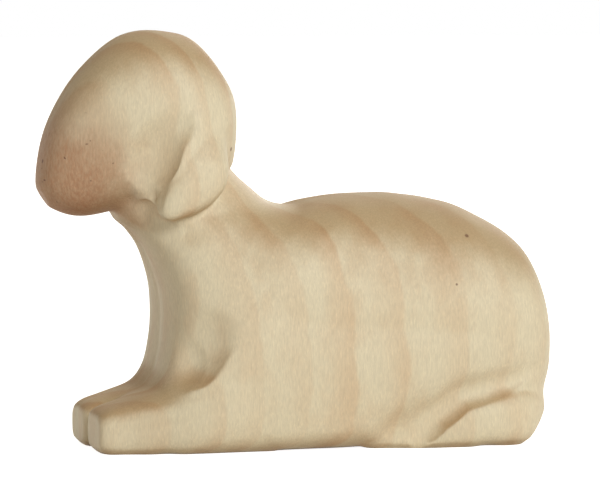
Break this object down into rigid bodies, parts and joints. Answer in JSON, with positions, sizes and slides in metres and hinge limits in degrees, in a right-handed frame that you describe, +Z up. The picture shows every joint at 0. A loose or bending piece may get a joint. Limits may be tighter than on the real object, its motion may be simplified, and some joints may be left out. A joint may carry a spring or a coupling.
{
  "type": "sheep figurine",
  "caption": "Small carved wooden sheep lying down, with hanging ears, its forelegs stretched out in front and its hind legs folded, on a flat underside.",
  "frame": {"origin": "middle of the figure's length and width, on its flat underside", "axes": "+X from the muzzle to the rump, +Y to the sheep's right side, +Z up"},
  "size_m": [0.0562, 0.0244, 0.045],
  "materials": {
    "body_wood": "natural pale maple, finely sanded, thin clear wax",
    "head_wood": "natural pale maple, finely sanded, thin clear wax, stained pinkish brown at the muzzle",
    "dowel_wood": "bare beech"
  },
  "bodies": {
    "root": {"body": "body_wood", "head": "head_wood", "neck_dowel": "dowel_wood"}
  },
  "joints": []
}
